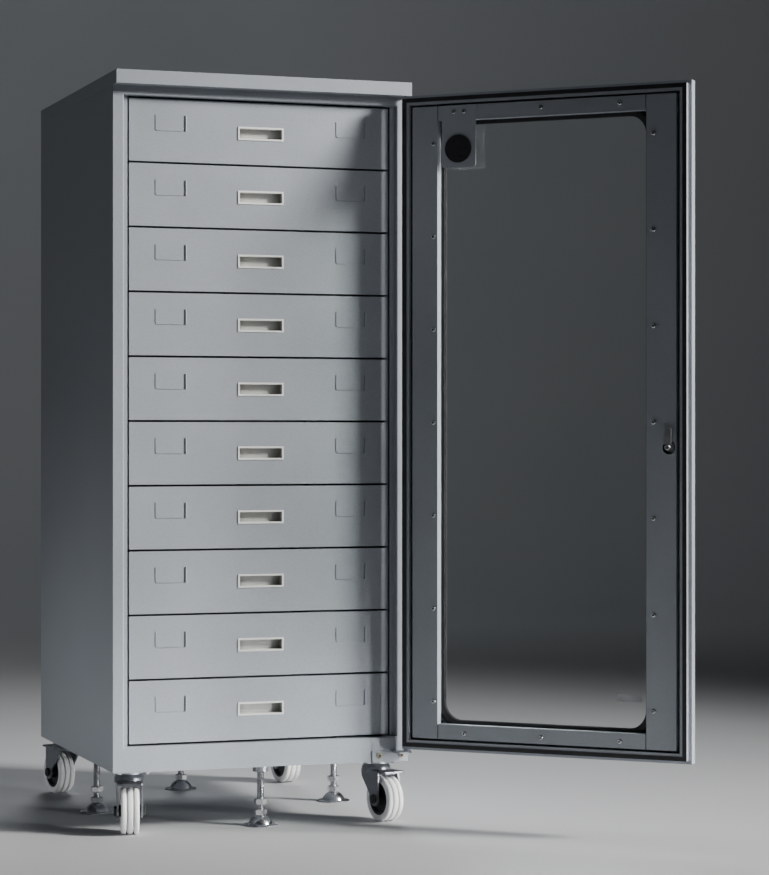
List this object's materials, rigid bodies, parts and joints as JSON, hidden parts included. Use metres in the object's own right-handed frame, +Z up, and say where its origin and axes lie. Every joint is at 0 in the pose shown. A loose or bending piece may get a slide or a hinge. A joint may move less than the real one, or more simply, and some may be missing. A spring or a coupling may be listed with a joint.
{
  "type": "rolling tool cabinet",
  "caption": "Tall steel drawer cabinet on braked swivel casters, with levelling feet and a hinged, lockable glass door.",
  "frame": {"origin": "on the floor under the centre of the cabinet's body, with the levelling feet and the casters standing on it", "axes": "+Z up, the drawers open towards -Y, +X is to the right of someone facing the drawers, where the door hangs"},
  "size_m": [0.8543, 0.9539, 1.2245],
  "materials": {
    "powder_coat": "satin light grey powder coat with a fine orange-peel grain",
    "pull_plastic": "off-white moulded plastic",
    "rubber": "black rubber, dull",
    "glass": "clear toughened glass",
    "zinc": "bright zinc plate, slightly blue",
    "foot_steel": "polished plated steel",
    "yellow_zinc": "yellow passivated zinc",
    "tyre_white": "off-white rubber tyre with ribs",
    "core_black": "black nylon wheel centre",
    "gauge_black": "black moulded case",
    "lock_metal": "nickel-plated lock"
  },
  "bodies": {
    "cabinet": {"worktop": "powder_coat", "left_side_panel": "powder_coat", "right_side_panel": "powder_coat", "back_panel": "powder_coat", "front_frame": "powder_coat", "base_pan": "powder_coat", "fixed_runners": "zinc", "hinge_plates": "powder_coat", "caster_plates": "zinc", "body_fasteners": "zinc"},
    "door": {"door_shell": "powder_coat", "door_seal": "rubber", "door_glass": "glass", "glass_gasket": "rubber", "glass_retainers": "powder_coat", "door_screws": "zinc", "gauge_bracket": "powder_coat", "gauge": "gauge_black", "lock_barrel": "lock_metal"},
    "lock_cam": {"lock_cam": "lock_metal"},
    "drawer_01": {"drawer_01": "powder_coat", "pull_01": "pull_plastic"},
    "drawer_02": {"drawer_02": "powder_coat", "pull_02": "pull_plastic"},
    "drawer_03": {"drawer_03": "powder_coat", "pull_03": "pull_plastic"},
    "drawer_04": {"drawer_04": "powder_coat", "pull_04": "pull_plastic"},
    "drawer_05": {"drawer_05": "powder_coat", "pull_05": "pull_plastic"},
    "drawer_06": {"drawer_06": "powder_coat", "pull_06": "pull_plastic"},
    "drawer_07": {"drawer_07": "powder_coat", "pull_07": "pull_plastic"},
    "drawer_08": {"drawer_08": "powder_coat", "pull_08": "pull_plastic"},
    "drawer_09": {"drawer_09": "powder_coat", "pull_09": "pull_plastic"},
    "drawer_10": {"drawer_10": "powder_coat", "pull_10": "pull_plastic"},
    "swivel_front_left": {"fork_front_left": "zinc"},
    "wheel_front_left": {"tyre_front_left": "tyre_white", "core_front_left": "core_black"},
    "brake_front_left": {"pedal_front_left": "zinc"},
    "swivel_front_right": {"fork_front_right": "zinc"},
    "wheel_front_right": {"tyre_front_right": "tyre_white", "core_front_right": "core_black"},
    "brake_front_right": {"pedal_front_right": "zinc"},
    "swivel_rear_left": {"fork_rear_left": "zinc"},
    "wheel_rear_left": {"tyre_rear_left": "tyre_white", "core_rear_left": "core_black"},
    "brake_rear_left": {"pedal_rear_left": "zinc"},
    "swivel_rear_right": {"fork_rear_right": "zinc"},
    "wheel_rear_right": {"tyre_rear_right": "tyre_white", "core_rear_right": "core_black"},
    "brake_rear_right": {"pedal_rear_right": "zinc"},
    "foot_front": {"foot_front": "foot_steel"},
    "foot_left": {"foot_left": "foot_steel"},
    "foot_right": {"foot_right": "foot_steel"},
    "foot_rear": {"foot_rear": "foot_steel"}
  },
  "joints": [
    {"name": "door_hinge", "type": "hinge", "parent": "cabinet", "child": "door", "pos_m": [0.2435, -0.2935, 0.66], "axis": [0, 0, 1], "range_deg": [-136, 44]},
    {"name": "lock_turn", "type": "hinge", "parent": "door", "child": "lock_cam", "pos_m": [0.55942, -0.62639, 0.6225], "axis": [0.6947, 0.7193, 0], "range_deg": [0, 90]},
    {"name": "drawer_01_slide", "type": "slide", "parent": "cabinet", "child": "drawer_01", "axis": [0, -1, 0], "range_m": [0, 0.4]},
    {"name": "drawer_02_slide", "type": "slide", "parent": "cabinet", "child": "drawer_02", "axis": [0, -1, 0], "range_m": [0, 0.4]},
    {"name": "drawer_03_slide", "type": "slide", "parent": "cabinet", "child": "drawer_03", "axis": [0, -1, 0], "range_m": [0, 0.4]},
    {"name": "drawer_04_slide", "type": "slide", "parent": "cabinet", "child": "drawer_04", "axis": [0, -1, 0], "range_m": [0, 0.4]},
    {"name": "drawer_05_slide", "type": "slide", "parent": "cabinet", "child": "drawer_05", "axis": [0, -1, 0], "range_m": [0, 0.4]},
    {"name": "drawer_06_slide", "type": "slide", "parent": "cabinet", "child": "drawer_06", "axis": [0, -1, 0], "range_m": [0, 0.4]},
    {"name": "drawer_07_slide", "type": "slide", "parent": "cabinet", "child": "drawer_07", "axis": [0, -1, 0], "range_m": [0, 0.4]},
    {"name": "drawer_08_slide", "type": "slide", "parent": "cabinet", "child": "drawer_08", "axis": [0, -1, 0], "range_m": [0, 0.4]},
    {"name": "drawer_09_slide", "type": "slide", "parent": "cabinet", "child": "drawer_09", "axis": [0, -1, 0], "range_m": [0, 0.4]},
    {"name": "drawer_10_slide", "type": "slide", "parent": "cabinet", "child": "drawer_10", "axis": [0, -1, 0], "range_m": [0, 0.4]},
    {"name": "swivel_front_left", "type": "hinge", "parent": "cabinet", "child": "swivel_front_left", "pos_m": [-0.212, -0.227, 0.09], "axis": [0, 0, 1], "continuous": true},
    {"name": "wheel_front_left", "type": "hinge", "parent": "swivel_front_left", "child": "wheel_front_left", "pos_m": [-0.21782, -0.25439, 0.0375], "axis": [0.9781, -0.2079, 0], "continuous": true},
    {"name": "brake_front_left", "type": "hinge", "parent": "swivel_front_left", "child": "brake_front_left", "pos_m": [-0.21845, -0.25732, 0.0812], "axis": [0.9781, -0.2079, 0], "range_deg": [0, 14]},
    {"name": "swivel_front_right", "type": "hinge", "parent": "cabinet", "child": "swivel_front_right", "pos_m": [0.212, -0.227, 0.09], "axis": [0, 0, 1], "continuous": true},
    {"name": "wheel_front_right", "type": "hinge", "parent": "swivel_front_right", "child": "wheel_front_right", "pos_m": [0.21782, -0.25439, 0.0375], "axis": [0.9781, 0.2079, 0], "continuous": true},
    {"name": "brake_front_right", "type": "hinge", "parent": "swivel_front_right", "child": "brake_front_right", "pos_m": [0.21845, -0.25732, 0.0812], "axis": [0.9781, 0.2079, 0], "range_deg": [0, 14]},
    {"name": "swivel_rear_left", "type": "hinge", "parent": "cabinet", "child": "swivel_rear_left", "pos_m": [-0.212, 0.242, 0.09], "axis": [0, 0, 1], "continuous": true},
    {"name": "wheel_rear_left", "type": "hinge", "parent": "swivel_rear_left", "child": "wheel_rear_left", "pos_m": [-0.21782, 0.26939, 0.0375], "axis": [-0.9781, -0.2079, 0], "continuous": true},
    {"name": "brake_rear_left", "type": "hinge", "parent": "swivel_rear_left", "child": "brake_rear_left", "pos_m": [-0.21845, 0.27232, 0.0812], "axis": [-0.9781, -0.2079, 0], "range_deg": [0, 14]},
    {"name": "swivel_rear_right", "type": "hinge", "parent": "cabinet", "child": "swivel_rear_right", "pos_m": [0.212, 0.242, 0.09], "axis": [0, 0, 1], "continuous": true},
    {"name": "wheel_rear_right", "type": "hinge", "parent": "swivel_rear_right", "child": "wheel_rear_right", "pos_m": [0.20762, 0.26966, 0.0375], "axis": [-0.9877, -0.1564, 0], "continuous": true},
    {"name": "brake_rear_right", "type": "hinge", "parent": "swivel_rear_right", "child": "brake_rear_right", "pos_m": [0.20715, 0.27262, 0.0812], "axis": [-0.9877, -0.1564, 0], "range_deg": [0, 14]},
    {"name": "foot_front_height", "type": "slide", "parent": "cabinet", "child": "foot_front", "axis": [0, 0, 1], "range_m": [0, 0.015]},
    {"name": "foot_left_height", "type": "slide", "parent": "cabinet", "child": "foot_left", "axis": [0, 0, 1], "range_m": [0, 0.015]},
    {"name": "foot_right_height", "type": "slide", "parent": "cabinet", "child": "foot_right", "axis": [0, 0, 1], "range_m": [0, 0.015]},
    {"name": "foot_rear_height", "type": "slide", "parent": "cabinet", "child": "foot_rear", "axis": [0, 0, 1], "range_m": [0, 0.015]}
  ]
}
